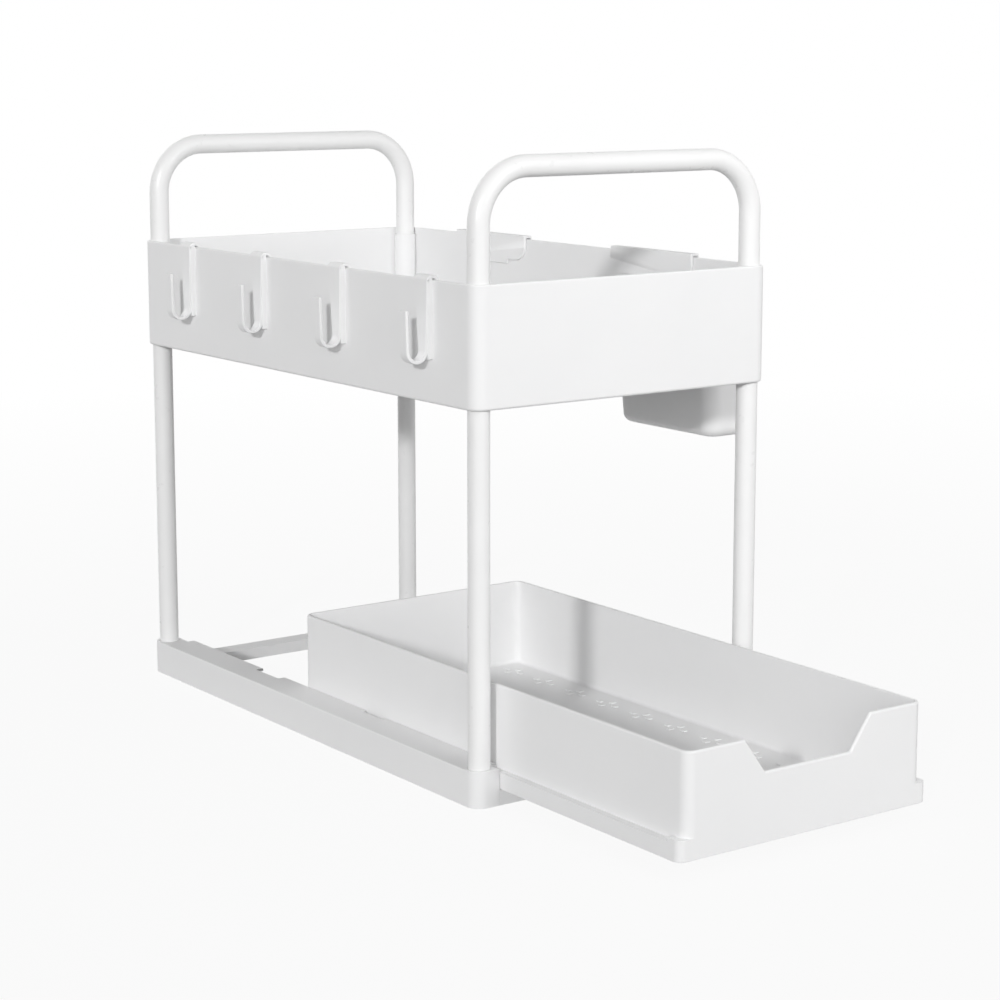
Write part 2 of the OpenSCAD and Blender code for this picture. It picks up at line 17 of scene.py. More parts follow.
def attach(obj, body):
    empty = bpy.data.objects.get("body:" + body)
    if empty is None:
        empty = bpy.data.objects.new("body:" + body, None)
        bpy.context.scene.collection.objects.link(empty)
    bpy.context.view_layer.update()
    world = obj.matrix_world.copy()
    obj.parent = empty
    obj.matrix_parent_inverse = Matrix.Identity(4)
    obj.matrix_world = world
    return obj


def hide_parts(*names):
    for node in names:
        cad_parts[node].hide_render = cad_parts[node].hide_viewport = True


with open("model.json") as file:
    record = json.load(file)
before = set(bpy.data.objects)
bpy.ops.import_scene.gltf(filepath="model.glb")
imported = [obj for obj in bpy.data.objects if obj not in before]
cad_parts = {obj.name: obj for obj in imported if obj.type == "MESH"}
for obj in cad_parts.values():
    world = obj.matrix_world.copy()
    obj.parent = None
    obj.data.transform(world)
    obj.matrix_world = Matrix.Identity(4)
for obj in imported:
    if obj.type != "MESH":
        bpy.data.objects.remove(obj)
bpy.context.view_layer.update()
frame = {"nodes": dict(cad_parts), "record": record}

nodes = frame["nodes"]

# %% [markdown]
# Every size below is in millimetres, because that is how a product designer thinks, and MM turns it
# into Blender's metres. A few helpers come first. A finished bmesh becomes a piece with smooth faces,
# which rides on its body and stands for its solid. On its own, smooth shading bends the light over a
# whole flat wall. Weighted normals let the large faces decide instead, so only roundings look round.

# %% Helpers for finished pieces
MM = 0.001
SHARP_ANGLE = math.radians(32)


def piece_from(bm, name, body, stands_for=()):
    """Turns a finished bmesh into a piece that rides on a body and stands for its solids."""
    for face in bm.faces:
        face.smooth = True
    mesh = bpy.data.meshes.new(name)
    bm.to_mesh(mesh)
    bm.free()
    piece = bpy.data.objects.new(name, mesh)
    bpy.context.scene.collection.objects.link(piece)
    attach(piece, body)
    if stands_for:
        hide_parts(*stands_for)
    return piece


def flat_faces_stay_flat(piece):
    """Weights the shading by face area, so only the roundings shade as round."""
    shading = piece.modifiers.new("weighted normals", "WEIGHTED_NORMAL")
    shading.mode = "FACE_AREA"
    shading.weight = 100
    shading.keep_sharp = True


def body_of_node(node):
    """The name of the body that a solid belongs to."""
    bodies = frame["record"]["behaviour"]["bodies"]
    return next(body for body, members in bodies.items() if node in members)


def slot_of_node(node):
    """The name of the finish that the record gives a solid."""
    return next(row["material_slot"] for row in frame["record"]["subparts"] if row["node"] == node)


print("the drawer's body and finish:", body_of_node("drawer"), slot_of_node("drawer"))

# %% [markdown]
# The solids of the rails, tray, drawer and cups already have the right shape, so nothing is modelled
# twice. Their meshes are loose triangles, though, and a bevel can't run along their edges. A copy is
# merged into one skin, and its flat areas are dissolved back into single faces.

# %% Joined copies of the solids
MERGE_DISTANCE = 0.001
FLAT_ANGLE = math.radians(0.3)


def merged_copy(node):
    """A bmesh of a solid's mesh with its triangles joined and its flat areas made single faces."""
    bm = bmesh.new()
    bm.from_mesh(nodes[node].data)
    bmesh.ops.remove_doubles(bm, verts=bm.verts, dist=MERGE_DISTANCE * MM)
    bmesh.ops.dissolve_limit(bm, angle_limit=FLAT_ANGLE, use_dissolve_boundaries=False,
                             verts=bm.verts, edges=bm.edges, delimit={"NORMAL"})
    return bm


sample = merged_copy("drawer")
print("drawer:", len(nodes["drawer"].data.polygons), "triangles become", len(sample.faces), "faces")
sample.free()

# %% [markdown]
# Real moulded parts have no sharp edges, and the thin bright line that a rounded edge catches is most
# of what makes plastic look moulded. Each sharp edge gets a bevel weight for the height it lies at. An
# open rim is well rounded outside, where hands touch it. Inside it is only eased, because both radii
# have to fit in a wall of 2 mm. Edges too short for a radius stay sharp.

# %% A radius for each edge
UPRIGHT_LIMIT = 0.3


def faces_outwards(edge, middle):
    """True for an edge of a wall's outer side: its upright face looks away from the solid's middle."""
    for face in edge.link_faces:
        if abs(face.normal.z) < UPRIGHT_LIMIT:
            return face.normal.xy.dot((face.calc_center_median() - middle).xy) > 0
    return False


def weigh_edges(bm, bands):
    """Gives each sharp edge the radius of the height band it lies in, or leaves it sharp."""
    widest = max(radius for low, high, outer, inner, shortest in bands for radius in (outer, inner))
    lowest, highest = (Vector(map(pick, *(vert.co for vert in bm.verts))) for pick in (min, max))
    middle = (lowest + highest) / 2
    layer = bm.edges.layers.float.new("bevel_weight_edge")
    for edge in bm.edges:
        if len(edge.link_faces) != 2 or edge.calc_face_angle(0) < SHARP_ANGLE:
            continue
        height = sum(vert.co.z for vert in edge.verts) / 2 / MM
        length = edge.calc_length() / MM
        outside = faces_outwards(edge, middle)
        weight = next(((outer if outside else inner) / widest
                       for low, high, outer, inner, shortest in bands
                       if low <= height <= high and length >= shortest), 0)
        edge[layer] = weight
        edge.smooth = weight > 0
    return widest


# each band: lowest and highest height, radius of the outer edges and of the inner ones, shortest edge
RAIL_BANDS = [(20.1, 20.3, 0.4, 0.4, 0)]
BAR_BANDS = [(8.4, 8.6, 0.4, 0.4, 20)]
TRAY_BANDS = [(277, 280, 1.1, 0.5, 0), (212, 214, 0.6, 0.6, 0), (270, 277, 0.3, 0.3, 0)]
DRAWER_BANDS = [(21, 65, 1.2, 0.5, 0), (10.8, 11, 2, 2, 0), (8.8, 9, 0.35, 0.35, 0)]
CUP_BANDS = [(250, 281, 0.6, 0.6, 3)]
EDGE_BANDS = {
    "base_left_rail": RAIL_BANDS, "base_right_rail": RAIL_BANDS,
    "base_front_bar": BAR_BANDS, "base_back_bar": BAR_BANDS,
    "upper_tray": TRAY_BANDS, "drawer": DRAWER_BANDS,
    "front_cup": CUP_BANDS, "back_cup": CUP_BANDS,
}
print("height bands of the edges:", {node: len(bands) for node, bands in EDGE_BANDS.items()})

# %% [markdown]
# One Bevel modifier per piece then makes every rounding at once, each as wide as its edge's weight
# says. Loop slide is off, because it would let the wide outer rounding of a rim slip along the wall's
# thin top and fold it over.

# %% Moulded pieces with soft edges
ROUND_STEPS = 4


def softened(node, bands):
    """A copy of one solid with its edges rounded by height band, which stands for it."""
    bm = merged_copy(node)
    widest = weigh_edges(bm, bands)
    piece = piece_from(bm, node + "_moulded", body_of_node(node), [node])
    bevel = piece.modifiers.new("rounded edges", "BEVEL")
    bevel.width = widest * MM
    bevel.segments = ROUND_STEPS
    bevel.limit_method = "WEIGHT"
    bevel.use_clamp_overlap = False
    bevel.loop_slide = False
    flat_faces_stay_flat(piece)
    return piece


moulded = {node: softened(node, bands) for node, bands in EDGE_BANDS.items()}
print("moulded pieces:", {node: len(piece.data.polygons) for node, piece in moulded.items()})

# %% [markdown]
# The posts and handles are cut from one steel tube, 12 mm across with a 1 mm wall. A cylinder with a
# hole would make a post, but not a bend. So a ring of points is drawn along the tube's line and swung
# round its bends, as a tube bender works, and both kinds come from the same two moves. A Solidify
# modifier gives the skin its thickness, inwards. The cut ends are marked sharp, so the shading of the
# long sides stays even down to the foot.

# %% The tube bender's moves
TUBE_RADIUS = 6
TUBE_WALL = 1
TUBE_SIDES = 48


def ring_of_tube(bm, x, y, z):
    """A flat ring of points at the foot of a tube, given by its edges."""
    made = bmesh.ops.create_circle(bm, segments=TUBE_SIDES, radius=TUBE_RADIUS * MM,
                                   matrix=Matrix.Translation((x * MM, y * MM, z * MM)))
    return list({edge for vert in made["verts"] for edge in vert.link_edges})


def drawn(bm, ring, x, y, z):
    """Draws a ring along a straight line, and returns the ring at its far end."""
    made = bmesh.ops.extrude_edge_only(bm, edges=ring)["geom"]
    verts = [item for item in made if isinstance(item, bmesh.types.BMVert)]
    bmesh.ops.translate(bm, verts=verts, vec=(x * MM, y * MM, z * MM))
    return [item for item in made if isinstance(item, bmesh.types.BMEdge)]


def swung(bm, ring, x, z, degrees, steps):
    """Swings a ring about a bend's centre, and returns the ring at its far end."""
    verts = list({vert for edge in ring for vert in edge.verts})
    made = bmesh.ops.spin(bm, geom=ring + verts, cent=(x * MM, 0, z * MM), axis=(0, 1, 0),
                          angle=math.radians(degrees), steps=steps, use_duplicate=False)
    return [item for item in made["geom_last"] if isinstance(item, bmesh.types.BMEdge)]


def tube_piece(bm, node):
    """Turns a tube's skin into a piece: its cut ends stay sharp, and its wall grows inwards."""
    bmesh.ops.recalc_face_normals(bm, faces=bm.faces)
    for edge in bm.edges:
        edge.smooth = not edge.is_boundary
    piece = piece_from(bm, node + "_tube", body_of_node(node), [node])
    wall = piece.modifiers.new("wall", "SOLIDIFY")
    wall.thickness = TUBE_WALL * MM
    wall.offset = -1
    return piece


print("tube bore:", 2 * (TUBE_RADIUS - TUBE_WALL), "mm")

# %% [markdown]
# A post is the simplest piece: one ring at its foot, drawn straight up into the tray's corner sleeve.

# %% Posts
POST_X = 92.5
BACK_Y = 347
POST_FOOT, POST_TOP = 3, 244


def post(node, x, y):
    """One straight post, which stands for its solid."""
    bm = bmesh.new()
    drawn(bm, ring_of_tube(bm, x, y, POST_FOOT), 0, 0, POST_TOP - POST_FOOT)
    return tube_piece(bm, node)


tubes = {
    "post_front_left": post("post_front_left", -POST_X, 0),
    "post_front_right": post("post_front_right", POST_X, 0),
    "post_back_left": post("post_back_left", -POST_X, BACK_Y),
    "post_back_right": post("post_back_right", POST_X, BACK_Y),
}
print("post length:", POST_TOP - POST_FOOT, "mm")

# %% [markdown]
# A handle is one length of tube, bent twice. Its ring starts at the foot of the left leg, is drawn up
# to the bend, swung through a quarter turn, drawn across, swung again and drawn down.

# %% Handles
LEG_FOOT = 246
BEND_RADIUS = 30
BEND_Z = 308
BEND_STEPS = 20


def handle(node, y):
    """One bent handle, which stands for its solid."""
    bm = bmesh.new()
    bend_x = POST_X - BEND_RADIUS
    ring = drawn(bm, ring_of_tube(bm, -POST_X, y, LEG_FOOT), 0, 0, BEND_Z - LEG_FOOT)
    ring = swung(bm, ring, -bend_x, BEND_Z, 90, BEND_STEPS)
    ring = drawn(bm, ring, 2 * bend_x, 0, 0)
    ring = swung(bm, ring, bend_x, BEND_Z, 90, BEND_STEPS)
    drawn(bm, ring, 0, 0, LEG_FOOT - BEND_Z)
    return tube_piece(bm, node)


tubes["front_handle"] = handle("front_handle", 0)
tubes["back_handle"] = handle("back_handle", BACK_Y)
print("tubes:", {node: len(piece.data.polygons) for node, piece in tubes.items()})

# %% [markdown]
# Each hook is moulded as one bent strip with rounded sides, so the tube's two moves make it too. Its
# ring is a flat square from a grid, scaled to the strip's section. Its corners are rounded, and then
# its face is taken out, so only the ring is left.

# %% The hook strip's section
HOOK_T = 1.8
HOOK_W = 12.8
STRIP_CORNER_R = 0.55
STRIP_CORNER_STEPS = 4


def strip_ring(bm, x, z, front_y):
    """The strip's section as a flat ring: a rounded rectangle as wide as the strip."""
    made = bmesh.ops.create_grid(bm, x_segments=1, y_segments=1, size=0.5)
    verts = made["verts"]
    bmesh.ops.scale(bm, verts=verts, vec=(HOOK_T * MM, HOOK_W * MM, 1))
    bmesh.ops.translate(bm, verts=verts, vec=(x * MM, (front_y + HOOK_W / 2) * MM, z * MM))
    corners = bmesh.ops.bevel(bm, geom=verts, offset=STRIP_CORNER_R * MM, offset_type="OFFSET",
                              segments=STRIP_CORNER_STEPS, profile=0.5, affect="VERTICES", material=-1)
    face = next(iter({face for vert in corners["verts"] for face in vert.link_faces}))
    ring = list(face.edges)
    bmesh.ops.delete(bm, geom=[face], context="FACES_ONLY")
    return ring


print("hook strip:", HOOK_T, "by", HOOK_W, "mm")

# %% [markdown]
# The strip starts at the foot of the leg inside the tray, arches over the rim and runs down outside
# while it narrows to the width of the arm. Then it swings round the bend and rises to the tip. The two
# ends are filled and their edges rounded.

# %% The hook's bent strip
HOOK_ARM_W = 7
ARM_INSET = 0.8
ARM_STEPS = 12
WALL_X = -100.5
WALL_T = 2
RIM_Z = 278.6
HOOK_GAP = 0.2
HOOK_PLATE_T = 1.7
HOOK_LEG_L = 10
ARCH_TOP = 2.5
ARCH_R = 2.2
ARCH_STEPS = 8
HOOK_BEND_R = 6.8
HOOK_BEND_STEPS = 24
HOOK_REACH = 16
HOOK_DROP = 44
HOOK_LEAN = 0.6
HOOK_TIP_DROP = 15.6
HOOK_TIP_L = 0.6
HOOK_EDGE_R = 0.5
HOOK_EDGE_STEPS = 3


def narrowed(bm, ring, x, z, front_y):
    """Draws the strip's ring along a straight line, while it narrows to the width of the arm."""
    for step in range(ARM_STEPS):
        ring = drawn(bm, ring, x / ARM_STEPS, 0, z / ARM_STEPS)
        shares = (step / ARM_STEPS, (step + 1) / ARM_STEPS)
        width, next_width = [HOOK_W + (HOOK_ARM_W - HOOK_W) * share for share in shares]
        front, next_front = [front_y + ARM_INSET * share for share in shares]
        for vert in {vert for edge in ring for vert in edge.verts}:
            vert.co.y = next_front * MM + (vert.co.y - front * MM) * next_width / width
    return ring


def close_end(bm, ring):
    """Fills one end of the strip and rounds its edges."""
    cap = bmesh.ops.edgeloop_fill(bm, edges=ring)["faces"]
    edges = list({edge for face in cap for edge in face.edges})
    bmesh.ops.bevel(bm, geom=edges, offset=HOOK_EDGE_R * MM, offset_type="OFFSET",
                    segments=HOOK_EDGE_STEPS, profile=0.5, affect="EDGES", material=-1, clamp_overlap=True)


def bent_strip(bm, y):
    """The hook's strip, from its foot inside the tray, over the rim, to the tip of the arm."""
    half = HOOK_T / 2
    leg_x = WALL_X + WALL_T + HOOK_GAP + half
    strip_x = WALL_X - HOOK_GAP - HOOK_PLATE_T - half
    arch_z = RIM_Z + ARCH_TOP - half - ARCH_R
    bend_x = WALL_X - HOOK_REACH + HOOK_BEND_R
    bend_z = RIM_Z - HOOK_DROP + HOOK_BEND_R
    foot = strip_ring(bm, leg_x, RIM_Z - HOOK_LEG_L, y)
    ring = drawn(bm, foot, 0, 0, arch_z - RIM_Z + HOOK_LEG_L)
    ring = swung(bm, ring, leg_x - ARCH_R, arch_z, -90, ARCH_STEPS)
    ring = drawn(bm, ring, strip_x - leg_x + 2 * ARCH_R, 0, 0)
    ring = swung(bm, ring, strip_x + ARCH_R, arch_z, -90, ARCH_STEPS)
    ring = drawn(bm, ring, 0, 0, RIM_Z - arch_z)
    ring = narrowed(bm, ring, bend_x + HOOK_BEND_R - half - strip_x, bend_z - RIM_Z, y)
    ring = swung(bm, ring, bend_x, bend_z, 180, HOOK_BEND_STEPS)
    ring = drawn(bm, ring, -HOOK_LEAN, 0, RIM_Z - HOOK_TIP_DROP - HOOK_TIP_L - bend_z)
    ring = drawn(bm, ring, 0, 0, HOOK_TIP_L)
    close_end(bm, foot)
    close_end(bm, ring)


print("hook hangs down", HOOK_DROP, "mm and reaches out", HOOK_REACH, "mm")

# %% [markdown]
# A flat plate behind the strip lies on the tray's wall and keeps the hook upright. It is a cube with
# its front edges rounded, sunk into the strip and the arch, so the three read as one moulding.

# %% Hooks
HOOK_Y = (30.2, 115.867, 201.533, 287.2)
PLATE_L = 42
PLATE_TOP = 1.0
PLATE_GAP = 0.03
PLATE_SINK = 0.9
PLATE_SIDE = 0.06
PLATE_BACK = WALL_X - PLATE_GAP
PLATE_FRONT = WALL_X - HOOK_GAP - HOOK_PLATE_T - PLATE_SINK
BACK_ZONE = 0.1


def back_plate(bm, y):
    """The hook's flat plate, with every edge rounded but those at its back."""
    verts = bmesh.ops.create_cube(bm, size=1)["verts"]
    size = (PLATE_BACK - PLATE_FRONT, HOOK_W - 2 * PLATE_SIDE, PLATE_L + PLATE_TOP)
    middle = ((PLATE_BACK + PLATE_FRONT) / 2, y + HOOK_W / 2, RIM_Z + (PLATE_TOP - PLATE_L) / 2)
    bmesh.ops.scale(bm, verts=verts, vec=Vector(size) * MM)
    bmesh.ops.translate(bm, verts=verts, vec=Vector(middle) * MM)
    edges = [edge for edge in {edge for vert in verts for edge in vert.link_edges}
             if any(vert.co.x < (PLATE_BACK - BACK_ZONE) * MM for vert in edge.verts)]
    bmesh.ops.bevel(bm, geom=edges, offset=HOOK_EDGE_R * MM, offset_type="OFFSET",
                    segments=HOOK_EDGE_STEPS, profile=0.5, affect="EDGES", material=-1)


def hook(node, y):
    """One hook: its bent strip and its flat plate, which stand for its solid."""
    bm = bmesh.new()
    bent_strip(bm, y)
    back_plate(bm, y)
    bmesh.ops.recalc_face_normals(bm, faces=bm.faces)
    for edge in bm.edges:
        edge.smooth = edge.calc_face_angle(0) < SHARP_ANGLE
    piece = piece_from(bm, node + "_bent_strip", body_of_node(node), [node])
    flat_faces_stay_flat(piece)
    return piece


hooks = {f"side_hook_{place}": hook(f"side_hook_{place}", y) for place, y in enumerate(HOOK_Y, 1)}
print("hooks:", {node: len(piece.data.polygons) for node, piece in hooks.items()})

# %% [markdown]
# The drawer's floor has a grip pattern, so that jars don't slide when the drawer is pulled. It is a
# grid of small crosses, each made of four short low bumps round an open middle. Only one cross is
# made. Two Array modifiers repeat it, which keeps the mesh small and the grid exact. The bumps are
# moulded with the floor, so they ride with the drawer.

# %% Grip bumps on the drawer's floor
DRAWER_FLOOR_Z = 10.9
BUMP_LONG, BUMP_WIDE, BUMP_HIGH = 4.0, 2.6, 0.5
BUMP_SINK = 0.2
BUMP_EDGE_R = 0.34
BUMP_EDGE_STEPS = 3
CROSS_STEP_X, CROSS_STEP_Y = 31, 31.8
CROSS_COLUMNS, CROSS_ROWS = 5, 11
CROSS_MIDDLE_Y = 22.1
BUMP_OUT_X, BUMP_OUT_Y = 4, 7.2


def repeated(piece, count, step):
    """Repeats a piece in a straight row, with a step in millimetres."""
    row = piece.modifiers.new("row", "ARRAY")
    row.count = count
    row.use_relative_offset = False
    row.use_constant_offset = True
    row.constant_offset_displace = [v * MM for v in step]


def grip_crosses():
    """One cross of four bumps in the floor's front left corner, repeated over the floor."""
    bm = bmesh.new()
    x = -(CROSS_COLUMNS - 1) / 2 * CROSS_STEP_X
    y = CROSS_MIDDLE_Y - (CROSS_ROWS - 1) / 2 * CROSS_STEP_Y
    z = DRAWER_FLOOR_Z + (BUMP_HIGH - BUMP_SINK) / 2
    for out_x, out_y in ((1, 0), (-1, 0), (0, 1), (0, -1)):
        place = Matrix.Translation(Vector((x + out_x * BUMP_OUT_X, y + out_y * BUMP_OUT_Y, z)) * MM)
        size = (BUMP_LONG, BUMP_WIDE) if out_x else (BUMP_WIDE, BUMP_LONG)
        scale = Matrix.Diagonal((size[0] * MM, size[1] * MM, (BUMP_HIGH + BUMP_SINK) * MM, 1))
        bmesh.ops.create_cube(bm, size=1, matrix=place @ scale)
    bmesh.ops.bevel(bm, geom=bm.edges[:], offset=BUMP_EDGE_R * MM, offset_type="OFFSET",
                    segments=BUMP_EDGE_STEPS, profile=0.5, affect="EDGES", material=-1)
    piece = piece_from(bm, "drawer_grip_bumps", "drawer")
    repeated(piece, CROSS_COLUMNS, (CROSS_STEP_X, 0, 0))
    repeated(piece, CROSS_ROWS, (0, CROSS_STEP_Y, 0))
    return piece


grip_bumps = grip_crosses()
print("grip bumps:", CROSS_COLUMNS * CROSS_ROWS * 4)

# %% [markdown]
# The photograph was taken from the front left, a little above the rack. Its camera was worked out from
# the rack's own straight lines, so the render's frame matches the photograph's. The small shift moves
# the frame without tilting the camera.

# %% Camera
CAMERA_PLACE = (-807.8, -1011.8, 399.1)
CAMERA_TURN = 35.771
CAMERA_PITCH = 9.5
CAMERA_LENS = 86.9
CAMERA_SENSOR = 36
CAMERA_SHIFT_UP = -0.05

camera_data = bpy.data.cameras.new("camera")
camera = bpy.data.objects.new("camera", camera_data)
bpy.context.scene.collection.objects.link(camera)
camera.location = [v * MM for v in CAMERA_PLACE]
camera.rotation_euler = (math.radians(90 - CAMERA_PITCH), 0, -math.radians(CAMERA_TURN))
camera_data.lens = CAMERA_LENS
camera_data.sensor_width = CAMERA_SENSOR
camera_data.shift_y = CAMERA_SHIFT_UP
bpy.context.scene.camera = camera
print("camera at", [round(v, 3) for v in camera.location], "with a lens of", CAMERA_LENS, "mm")

# %% [markdown]
# Moulded plastic is never one flat value. Its colour drifts slightly, its gloss varies where the mould
# was worn or handled, and the mould's fine spark texture breaks up the highlight. Noise textures at
# very different scales give these, all on Object coordinates, which are metres on the real rack. The
# helpers here wire one node each, so that a finish reads as a short list of layers.

# %% Material helpers
NOISE_LOW, NOISE_HIGH = 0.3, 0.7


def new_material(name):
    """An empty node material, with its shader and its object coordinates."""
    material = bpy.data.materials.new(name)
    material.use_nodes = True
    tree = material.node_tree
    shader = tree.nodes["Principled BSDF"]
    coordinates = tree.nodes.new("ShaderNodeTexCoord")
    return material, tree, shader, coordinates.outputs["Object"]


def noise(tree, vector, size, detail=2.0, roughness=0.5):
    """A noise texture whose blobs are about size millimetres across."""
    texture = tree.nodes.new("ShaderNodeTexNoise")
    texture.inputs["Scale"].default_value = 1 / (size * MM)
    texture.inputs["Detail"].default_value = detail
    texture.inputs["Roughness"].default_value = roughness
    tree.links.new(vector, texture.inputs["Vector"])
    return texture.outputs["Fac"]


def remap(tree, value, low, high):
    """Stretches a noise, most of which lies in its middle part, to the range from low to high."""
    node = tree.nodes.new("ShaderNodeMapRange")
    node.inputs["From Min"].default_value = NOISE_LOW
    node.inputs["From Max"].default_value = NOISE_HIGH
    node.inputs["To Min"].default_value = low
    node.inputs["To Max"].default_value = high
    tree.links.new(value, node.inputs["Value"])
    return node.outputs["Result"]


def tint_between(tree, value, dark, light):
    """A colour that drifts from dark to light with a value."""
    mix = tree.nodes.new("ShaderNodeMix")
    mix.data_type = "RGBA"
    mix.inputs["A"].default_value = (*dark, 1)
    mix.inputs["B"].default_value = (*light, 1)
    tree.links.new(value, mix.inputs["Factor"])
    return mix.outputs["Result"]


def bump(tree, height, depth, below=None):
    """A bump whose full height is depth millimetres."""
    node = tree.nodes.new("ShaderNodeBump")
    node.inputs["Distance"].default_value = depth * MM
    tree.links.new(height, node.inputs["Height"])
    if below is not None:
        tree.links.new(below, node.inputs["Normal"])
    return node.outputs["Normal"]


finishes = {}

# %% [markdown]
# Tray, base, drawer, hooks and cups are one white plastic, moulded in different tools. So one function
# makes all five, and only the gloss differs: the small hooks come from the most polished mould. The
# long waves are the slight sink of a thin moulded wall, and the fine bump is the mould's grain.

# %% Moulded white plastic
WHITE = (0.935, 0.935, 0.937)
OFF_WHITE = (0.918, 0.919, 0.922)


def moulded_plastic(name, gloss):
    """White moulded plastic with colour drift, uneven gloss and the mould's grain."""
    material, tree, shader, place = new_material(name)
    drift = remap(tree, noise(tree, place, size=60, detail=3), 0, 1)
    tree.links.new(tint_between(tree, drift, OFF_WHITE, WHITE), shader.inputs["Base Color"])
    wear = remap(tree, noise(tree, place, size=9, detail=4, roughness=0.6), gloss - 0.05, gloss + 0.07)
    tree.links.new(wear, shader.inputs["Roughness"])
    shader.inputs["IOR"].default_value = 1.49
    shader.inputs["Specular IOR Level"].default_value = 0.4
    waves = bump(tree, noise(tree, place, size=28, detail=1), depth=0.05)
    grain = bump(tree, noise(tree, place, size=0.35, detail=2), depth=0.006, below=waves)
    tree.links.new(grain, shader.inputs["Normal"])
    return material


PLASTIC_GLOSS = {"tray": 0.42, "base": 0.46, "drawer": 0.44, "hook": 0.36, "cup": 0.42}
for part, gloss in PLASTIC_GLOSS.items():
    finishes[part + "_plastic"] = moulded_plastic(part + " plastic", gloss)
print("white plastics:", sorted(finishes))

# %% [markdown]
# The tubes are steel under a baked powder coat. The coat flows a little before it sets, which leaves
# the faint orange peel that a bump of two or three millimetres across gives.

# %% Powder-coated tube
COAT_DARK, COAT_LIGHT = (0.92, 0.92, 0.918), (0.94, 0.94, 0.938)


def powder_coat():
    """White powder coat on steel, smooth and half glossy, with a faint orange peel."""
    material, tree, shader, place = new_material("white powder coat")
    drift = remap(tree, noise(tree, place, size=40, detail=2), 0, 1)
    tree.links.new(tint_between(tree, drift, COAT_DARK, COAT_LIGHT), shader.inputs["Base Color"])
    gloss = remap(tree, noise(tree, place, size=6, detail=3), 0.27, 0.36)
    tree.links.new(gloss, shader.inputs["Roughness"])
    shader.inputs["IOR"].default_value = 1.5
    peel = bump(tree, noise(tree, place, size=2.4, detail=2), depth=0.012)
    tree.links.new(peel, shader.inputs["Normal"])
    return material


finishes["tube_coat"] = powder_coat()
print("tube finish:", finishes["tube_coat"].name)

# %% [markdown]
# Pads, plugs and screws hardly show from above, but the rack may be turned over. Each gets its own
# plain finish: matt dusty rubber, grey plastic with faint mould lines, and zinc with cloudy patches.

# %% Rubber, plugs and screws
RUBBER_DARK, RUBBER_LIGHT = (0.3, 0.3, 0.3), (0.42, 0.42, 0.42)
PLUG_DARK, PLUG_LIGHT = (0.42, 0.42, 0.43), (0.47, 0.47, 0.48)
ZINC_DARK, ZINC_LIGHT = (0.55, 0.56, 0.57), (0.68, 0.69, 0.71)


def soft_rubber():
    """Grey non-slip rubber, matt and slightly dusty."""
    material, tree, shader, place = new_material("pad rubber")
    dust = remap(tree, noise(tree, place, size=3, detail=4), 0, 1)
    tree.links.new(tint_between(tree, dust, RUBBER_DARK, RUBBER_LIGHT), shader.inputs["Base Color"])
    shader.inputs["Roughness"].default_value = 0.85
    tree.links.new(bump(tree, noise(tree, place, size=0.6), depth=0.03), shader.inputs["Normal"])
    return material


def plug_plastic():
    """Grey plastic of the hidden plugs, with faint lines from its mould."""
    material, tree, shader, place = new_material("joiner plastic")
    drift = remap(tree, noise(tree, place, size=8), 0, 1)
    tree.links.new(tint_between(tree, drift, PLUG_DARK, PLUG_LIGHT), shader.inputs["Base Color"])
    shader.inputs["Roughness"].default_value = 0.5
    tree.links.new(bump(tree, noise(tree, place, size=0.5), depth=0.01), shader.inputs["Normal"])
    return material


def zinc_plate():
    """Bright zinc on steel, with cloudy patches."""
    material, tree, shader, place = new_material("zinc plate")
    clouds = remap(tree, noise(tree, place, size=1.5, detail=3), 0, 1)
    tree.links.new(tint_between(tree, clouds, ZINC_DARK, ZINC_LIGHT), shader.inputs["Base Color"])
    shader.inputs["Metallic"].default_value = 1.0
    tree.links.new(remap(tree, noise(tree, place, size=1), 0.25, 0.42), shader.inputs["Roughness"])
    return material


finishes["pad_rubber"] = soft_rubber()
finishes["joiner_plastic"] = plug_plastic()
finishes["screw_steel"] = zinc_plate()
print("all finishes:", len(finishes))

# %% [markdown]
# A dressed piece gets its one material on its mesh. A solid's mesh stays as it came, so its finish goes
# in through its object's material slots. Both take the finish that the record names for the solid.

# %% Finishes on every piece
def dress(piece, slot):
    """Gives a piece its one material."""
    piece.data.materials.clear()
    piece.data.materials.append(finishes[slot])


def dress_solid(solid, slot):
    """Gives a solid its finish through its object's material slots, with its mesh left alone."""
    for place in solid.material_slots:
        place.link = "OBJECT"
        place.material = finishes[slot]


for node, solid in nodes.items():
    dress_solid(solid, slot_of_node(node))
for node, piece in [*moulded.items(), *tubes.items(), *hooks.items()]:
    dress(piece, slot_of_node(node))
dress(grip_bumps, "drawer_plastic")
print("dressed:", len(nodes), "solids and", len(moulded) + len(tubes) + len(hooks) + 1, "pieces")

# %% [markdown]
# A white product is shown against white, and yet it has to keep its shadow and not be flooded by its
# surroundings. So the camera and mirror-like rays see floor and background nearly white, while all
# other rays meet a grey floor and a dim world. Close to the rack a little of the real shading shows
# through the floor's white, which is the soft shadow, and it fades out with distance.

# %% Floor and world
FLOOR_SIZE = 20
FLOOR_GREY = 0.5
WHITE_NEAR, WHITE_FAR = 0.93, 1.0
FADE_FROM, FADE_TO = 0.5, 1.6


def seen_straight(tree):
    """A value that is 1 for rays from the camera or a mirror-like surface, and 0 for all others."""
    path = tree.nodes.new("ShaderNodeLightPath")
    straight = tree.nodes.new("ShaderNodeMath")
    straight.operation = "MAXIMUM"
    tree.links.new(path.outputs["Is Camera Ray"], straight.inputs[0])
    tree.links.new(path.outputs["Is Glossy Ray"], straight.inputs[1])
    return straight.outputs["Value"]


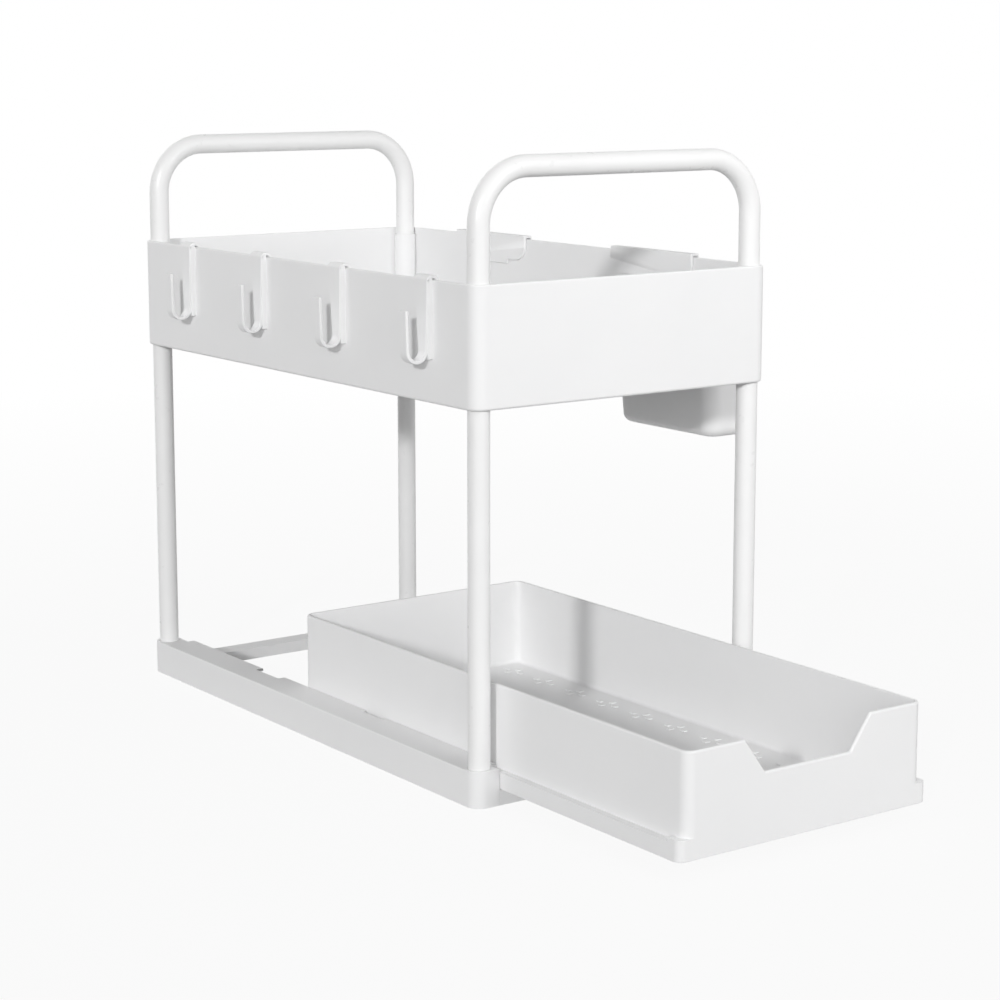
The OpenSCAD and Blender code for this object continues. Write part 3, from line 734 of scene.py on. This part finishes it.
def faded(tree, place):
    """The share of white in the floor, which rises with the distance from the rack."""
    distance = tree.nodes.new("ShaderNodeVectorMath")
    distance.operation = "LENGTH"
    tree.links.new(place, distance.inputs[0])
    fade = tree.nodes.new("ShaderNodeMapRange")
    fade.inputs["From Min"].default_value = FADE_FROM
    fade.inputs["From Max"].default_value = FADE_TO
    fade.inputs["To Min"].default_value = WHITE_NEAR
    fade.inputs["To Max"].default_value = WHITE_FAR
    tree.links.new(distance.outputs["Value"], fade.inputs["Value"])
    return fade.outputs["Result"]


def floor_finish():
    """A grey floor that looks nearly white where it is seen straight."""
    material, tree, shader, place = new_material("floor")
    shader.inputs["Base Color"].default_value = (FLOOR_GREY, FLOOR_GREY, FLOOR_GREY, 1)
    shader.inputs["Roughness"].default_value = 0.9
    share = tree.nodes.new("ShaderNodeMath")
    share.operation = "MULTIPLY"
    tree.links.new(seen_straight(tree), share.inputs[0])
    tree.links.new(faded(tree, place), share.inputs[1])
    glow = tree.nodes.new("ShaderNodeEmission")
    glow.inputs["Color"].default_value = (1, 1, 1, 1)
    glow.inputs["Strength"].default_value = 1.0
    blend = tree.nodes.new("ShaderNodeMixShader")
    tree.links.new(share.outputs["Value"], blend.inputs["Fac"])
    tree.links.new(shader.outputs["BSDF"], blend.inputs[1])
    tree.links.new(glow.outputs["Emission"], blend.inputs[2])
    tree.links.new(blend.outputs["Shader"], tree.nodes["Material Output"].inputs["Surface"])
    return material


def studio_floor():
    """A large pale floor that keeps the rack's soft shadow."""
    bm = bmesh.new()
    bmesh.ops.create_grid(bm, x_segments=1, y_segments=1, size=FLOOR_SIZE)
    mesh = bpy.data.meshes.new("floor")
    bm.to_mesh(mesh)
    bm.free()
    floor = bpy.data.objects.new("floor", mesh)
    bpy.context.scene.collection.objects.link(floor)
    mesh.materials.append(floor_finish())


def studio_world(strength):
    """An even surround of a given strength, which is plain white where it is seen straight."""
    world = bpy.data.worlds.new("studio")
    world.use_nodes = True
    tree = world.node_tree
    background = tree.nodes["Background"]
    background.inputs["Color"].default_value = (1, 1, 1, 1)
    level = tree.nodes.new("ShaderNodeMapRange")
    level.inputs["To Min"].default_value = strength
    level.inputs["To Max"].default_value = 1.0
    tree.links.new(seen_straight(tree), level.inputs["Value"])
    tree.links.new(level.outputs["Result"], background.inputs["Strength"])
    bpy.context.scene.world = world
    return world


studio_floor()
print("surround:", studio_world(strength=0.24).name)

# %% [markdown]
# The light is a plain white studio. A narrow key comes in low from the front left and throws the crisp
# shadows of posts and hooks. Every other sun is wide, as a large soft lamp is: one from the camera's
# side whitens the faces that look forward, two from the right fill the walls that the key leaves
# dark, and one from behind does the same for the back. A small square lamp above the drawer lifts the
# tray's front. No lamp is strong enough to burn a white face out.

# %% Lamps
def area_light(name, place, aim, size, power):
    """A square soft lamp at a place, aimed at a point, both in millimetres."""
    data = bpy.data.lights.new(name, "AREA")
    data.size = size * MM
    data.energy = power
    lamp = bpy.data.objects.new(name, data)
    bpy.context.scene.collection.objects.link(lamp)
    lamp.location = Vector(place) * MM
    lamp.rotation_euler = (Vector(aim) - Vector(place)).to_track_quat("-Z", "Y").to_euler()
    return lamp


def sun(name, travel, softness, strength):
    """A far lamp, given by the direction its light travels in and its width in degrees."""
    data = bpy.data.lights.new(name, "SUN")
    data.angle = math.radians(softness)
    data.energy = strength
    lamp = bpy.data.objects.new(name, data)
    bpy.context.scene.collection.objects.link(lamp)
    lamp.rotation_euler = Vector(travel).to_track_quat("-Z", "Y").to_euler()
    return lamp


lamps = [
    sun("low key", travel=(0.795, 0.606, -0.33), softness=4, strength=1.25),
    sun("camera side fill", travel=(0.585, 0.811, -0.03), softness=40, strength=0.82),
    sun("front right fill", travel=(-0.58, 0.81, -0.18), softness=60, strength=0.44),
    sun("right fill", travel=(-0.95, 0.2, -0.25), softness=60, strength=0.4),
    sun("back fill", travel=(0.1, -0.9, -0.35), softness=60, strength=0.5),
    area_light("tray front light", place=(60, -520, 560), aim=(0, 0, 270), size=260, power=0.95),
]
bpy.context.scene.view_settings.view_transform = "Standard"
print("lamps:", [lamp.name for lamp in lamps])
